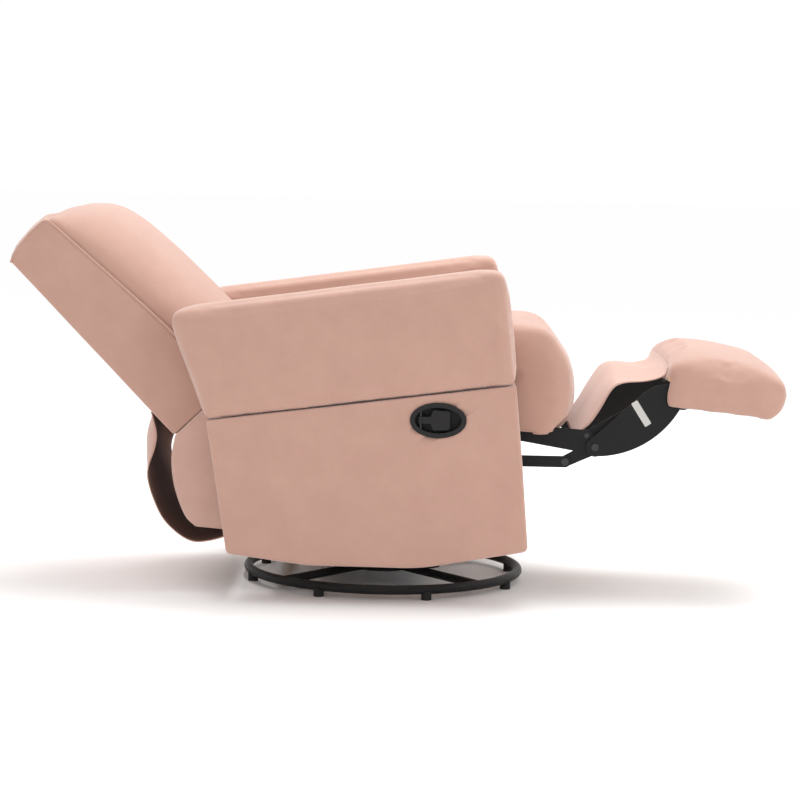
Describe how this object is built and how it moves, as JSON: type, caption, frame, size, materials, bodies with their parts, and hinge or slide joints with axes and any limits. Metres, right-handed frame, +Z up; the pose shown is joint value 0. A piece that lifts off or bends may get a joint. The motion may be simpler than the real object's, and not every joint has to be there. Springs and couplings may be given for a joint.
{
  "type": "glider nursery chair",
  "caption": "Upholstered swivel glider chair with a reclining back, a fold-out footrest on linkages and a round steel base.",
  "frame": {"origin": "on the floor at the swivel axis, the centre of the base ring", "axes": "+Z up, -Y is the way the chair faces, +X is the sitter's left"},
  "size_m": [0.77, 1.636, 0.8058],
  "materials": {
    "blush_fabric": "short woven upholstery fabric",
    "pale_fabric": "paler lining fabric",
    "dark_fabric": "outer back fabric, darker inside",
    "black_paint": "satin black paint",
    "zinc_steel": "zinc plated steel",
    "grey_steel": "grey painted steel",
    "hardwood": "raw plywood and softwood",
    "spring_steel": "oiled spring wire",
    "black_rubber": "moulded rubber",
    "grey_plastic": "moulded plastic",
    "black_plastic": "moulded plastic, fine grain",
    "fibre_panel": "stiff backing panel"
  },
  "bodies": {
    "base": {"base_ring": "black_paint", "floor_glides": "black_rubber", "swivel_bolts": "zinc_steel", "base_cross": "black_paint", "swivel_lower_plate": "black_paint", "swivel_lower_race": "grey_steel", "swivel_balls": "zinc_steel"},
    "turntable": {"swivel_upper_race": "grey_steel", "swivel_upper_plate": "black_paint", "glide_spreaders": "black_paint", "glide_plates": "black_paint", "glide_bolts_upper": "zinc_steel"},
    "glide_links_front": {"glide_links_front": "zinc_steel"},
    "glide_links_rear": {"glide_links_rear": "zinc_steel"},
    "carriage": {"carriage_cross_tubes": "black_paint", "glide_rails": "black_paint", "carriage_rails": "black_paint", "arm_runners": "hardwood", "carriage_pins": "zinc_steel", "rear_stretcher": "hardwood", "arm_frame_left": "hardwood", "arm_frame_right": "hardwood", "arm_pad_left": "blush_fabric", "arm_pad_right": "blush_fabric", "arm_panel_left": "blush_fabric", "arm_panel_right": "blush_fabric", "handle_pin": "zinc_steel", "handle_housing": "black_plastic", "outer_back_flap": "dark_fabric", "back_lining": "pale_fabric"},
    "handle": {"handle_paddle": "black_plastic"},
    "seat_links_front": {"seat_links_front": "black_paint"},
    "seat_links_rear": {"seat_links_rear": "black_paint"},
    "seat": {"seat_rails": "black_paint", "seat_pins": "zinc_steel", "seat_boards": "hardwood", "seat_springs": "spring_steel", "seat_cushion": "blush_fabric", "seat_rear_roll": "blush_fabric"},
    "torque_tube": {"torque_tube": "black_paint", "torque_cranks": "black_paint"},
    "drive_links": {"drive_links": "black_paint"},
    "bell_cranks": {"bell_cranks": "black_paint", "bell_crank_rivets": "zinc_steel"},
    "guard_links": {"guard_links": "black_paint"},
    "upper_links": {"upper_links": "black_paint"},
    "footrest": {"footrest_cushion": "blush_fabric", "footrest_board": "hardwood", "footrest_brackets": "black_paint", "footrest_rivets": "zinc_steel", "footrest_tab": "grey_plastic", "footrest_apron": "pale_fabric"},
    "backrest": {"back_cushion": "blush_fabric", "back_front_cushion": "blush_fabric", "outer_back_panel": "fibre_panel", "back_posts": "hardwood", "back_brackets": "black_paint", "back_spacers": "zinc_steel", "back_rails": "hardwood", "back_springs": "spring_steel"}
  },
  "joints": [
    {"name": "swivel", "type": "hinge", "parent": "base", "child": "turntable", "pos_m": [0, 0, 0.049], "axis": [0, 0, 1], "continuous": true},
    {"name": "glide", "type": "hinge", "parent": "turntable", "child": "glide_links_front", "pos_m": [0, -0.065, 0.23], "axis": [1, 0, 0], "range_deg": [-26, 26]},
    {"name": "glide_rear_links", "type": "hinge", "parent": "turntable", "child": "glide_links_rear", "pos_m": [0, 0.065, 0.23], "axis": [1, 0, 0], "range_deg": [-26, 26]},
    {"name": "glide_carriage", "type": "hinge", "parent": "glide_links_front", "child": "carriage", "pos_m": [0, -0.065, 0.12], "axis": [1, 0, 0], "range_deg": [-26, 26]},
    {"name": "handle_pull", "type": "hinge", "parent": "carriage", "child": "handle", "pos_m": [-0.376, -0.077, 0.391], "axis": [0, 0, -1], "range_deg": [0, 35], "stiffness_Nm_per_rad": 0.3, "springref_deg": -11.46},
    {"name": "recline", "type": "hinge", "parent": "carriage", "child": "backrest", "pos_m": [0, 0.26, 0.3], "axis": [1, 0, 0], "range_deg": [0, 28], "deforming": ["outer_back_flap", "back_lining"]},
    {"name": "seat_swing_front", "type": "hinge", "parent": "carriage", "child": "seat_links_front", "pos_m": [0, -0.06, 0.19], "axis": [1, 0, 0], "range_deg": [-39.26, 0]},
    {"name": "seat_swing_rear", "type": "hinge", "parent": "carriage", "child": "seat_links_rear", "pos_m": [0, 0.15, 0.19], "axis": [1, 0, 0], "range_deg": [-39.26, 0]},
    {"name": "seat_level", "type": "hinge", "parent": "seat_links_front", "child": "seat", "pos_m": [0, -0.05093, 0.31968], "axis": [1, 0, 0], "range_deg": [0, 39.26]},
    {"name": "footrest", "type": "hinge", "parent": "seat", "child": "bell_cranks", "pos_m": [0, -0.2094, 0.36], "axis": [1, 0, 0], "range_deg": [0, 83], "deforming": ["footrest_apron"]},
    {"name": "torque_tube_turn", "type": "hinge", "parent": "seat", "child": "torque_tube", "pos_m": [0, -0.0594, 0.36], "axis": [1, 0, 0], "range_deg": [0, 83]},
    {"name": "drive_link_swing", "type": "hinge", "parent": "torque_tube", "child": "drive_links", "pos_m": [0, -0.233, 0.292], "axis": [1, 0, 0], "range_deg": [-83, 0]},
    {"name": "guard_link_swing", "type": "hinge", "parent": "bell_cranks", "child": "guard_links", "pos_m": [0, -0.446, 0.324], "axis": [1, 0, 0], "range_deg": [-105.71, 0]},
    {"name": "upper_link_swing", "type": "hinge", "parent": "bell_cranks", "child": "upper_links", "pos_m": [0, -0.428, 0.348], "axis": [1, 0, 0], "range_deg": [-105.71, 0]},
    {"name": "footrest_fold", "type": "hinge", "parent": "guard_links", "child": "footrest", "pos_m": [0, -0.63, 0.43], "axis": [1, 0, 0], "range_deg": [0, 105.71]}
  ],
  "couplings": [
    {"joint": "glide_rear_links", "follows": "glide", "ratio": 1},
    {"joint": "glide_carriage", "follows": "glide", "ratio": -1},
    {"joint": "seat_swing_front", "follows": "recline", "ratio": -1.4018},
    {"joint": "seat_swing_rear", "follows": "recline", "ratio": -1.4018},
    {"joint": "seat_level", "follows": "recline", "ratio": 1.4018},
    {"joint": "torque_tube_turn", "follows": "footrest", "ratio": 1},
    {"joint": "drive_link_swing", "follows": "footrest", "ratio": -1},
    {"joint": "guard_link_swing", "follows": "footrest", "ratio": -1.2735},
    {"joint": "upper_link_swing", "follows": "footrest", "ratio": -1.2735},
    {"joint": "footrest_fold", "follows": "footrest", "ratio": 1.2735}
  ]
}
